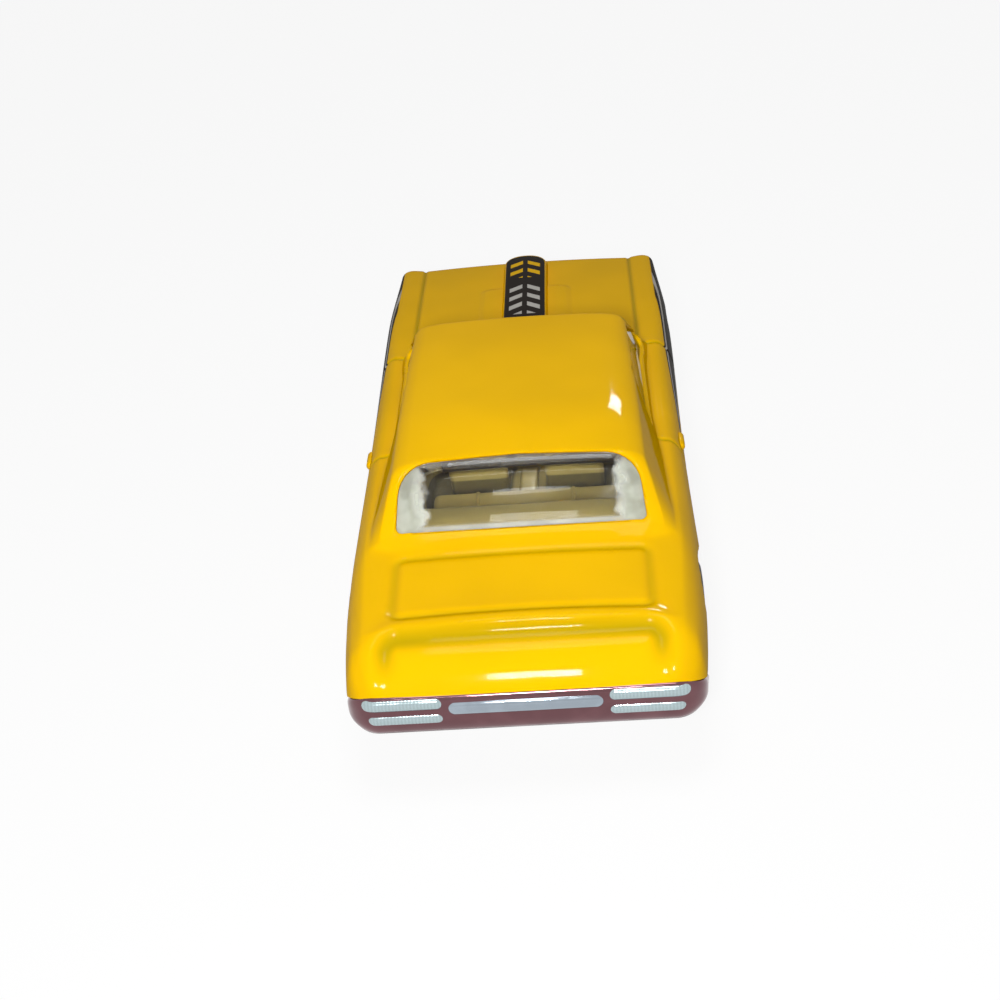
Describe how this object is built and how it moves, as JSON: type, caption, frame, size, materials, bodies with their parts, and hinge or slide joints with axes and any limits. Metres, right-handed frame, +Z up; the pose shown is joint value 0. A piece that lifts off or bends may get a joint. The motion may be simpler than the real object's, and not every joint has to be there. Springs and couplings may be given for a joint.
{
  "type": "toy car",
  "caption": "Die-cast toy coupe with a painted cast shell, clear glazing, plated bumpers and wheels that roll freely on steel axles.",
  "frame": {"origin": "on the ground under the tyres, at the middle of the car's length and width", "axes": "+Y forward along the car, +Z up, +X to the car's right"},
  "size_m": [0.0306, 0.074, 0.0209],
  "materials": {
    "yellow_paint": "glossy thick enamel",
    "base_metal": "bare casting",
    "plating": "vacuum plated",
    "clear_glazing": "clear moulding",
    "tan_interior": "moulded",
    "dark_interior": "moulded",
    "pin_steel": "plain",
    "rim_plating": "vacuum plated",
    "tyre_rubber": "satin"
  },
  "bodies": {
    "car": {"body_shell": "yellow_paint", "base_plate": "base_metal", "front_bumper": "plating", "rear_bumper": "plating", "glazing": "clear_glazing", "interior_tub": "tan_interior", "dashboard": "dark_interior", "steering_wheel": "dark_interior", "front_rivet": "pin_steel", "rear_rivet": "pin_steel"},
    "front_axle": {"front_axle": "pin_steel"},
    "rear_axle": {"rear_axle": "pin_steel"},
    "front_left_wheel": {"front_left_rim": "rim_plating", "front_left_tyre": "tyre_rubber"},
    "front_right_wheel": {"front_right_rim": "rim_plating", "front_right_tyre": "tyre_rubber"},
    "rear_left_wheel": {"rear_left_rim": "rim_plating", "rear_left_tyre": "tyre_rubber"},
    "rear_right_wheel": {"rear_right_rim": "rim_plating", "rear_right_tyre": "tyre_rubber"}
  },
  "joints": [
    {"name": "front_axle_spin", "type": "hinge", "parent": "car", "child": "front_axle", "pos_m": [0, 0.024, 0.005], "axis": [1, 0, 0], "continuous": true},
    {"name": "front_left_wheel_spin", "type": "hinge", "parent": "front_axle", "child": "front_left_wheel", "pos_m": [0, 0.024, 0.005], "axis": [1, 0, 0], "continuous": true},
    {"name": "front_right_wheel_spin", "type": "hinge", "parent": "front_axle", "child": "front_right_wheel", "pos_m": [0, 0.024, 0.005], "axis": [1, 0, 0], "continuous": true},
    {"name": "rear_axle_spin", "type": "hinge", "parent": "car", "child": "rear_axle", "pos_m": [0, -0.0225, 0.0054], "axis": [1, 0, 0], "continuous": true},
    {"name": "rear_left_wheel_spin", "type": "hinge", "parent": "rear_axle", "child": "rear_left_wheel", "pos_m": [0, -0.0225, 0.0054], "axis": [1, 0, 0], "continuous": true},
    {"name": "rear_right_wheel_spin", "type": "hinge", "parent": "rear_axle", "child": "rear_right_wheel", "pos_m": [0, -0.0225, 0.0054], "axis": [1, 0, 0], "continuous": true}
  ]
}
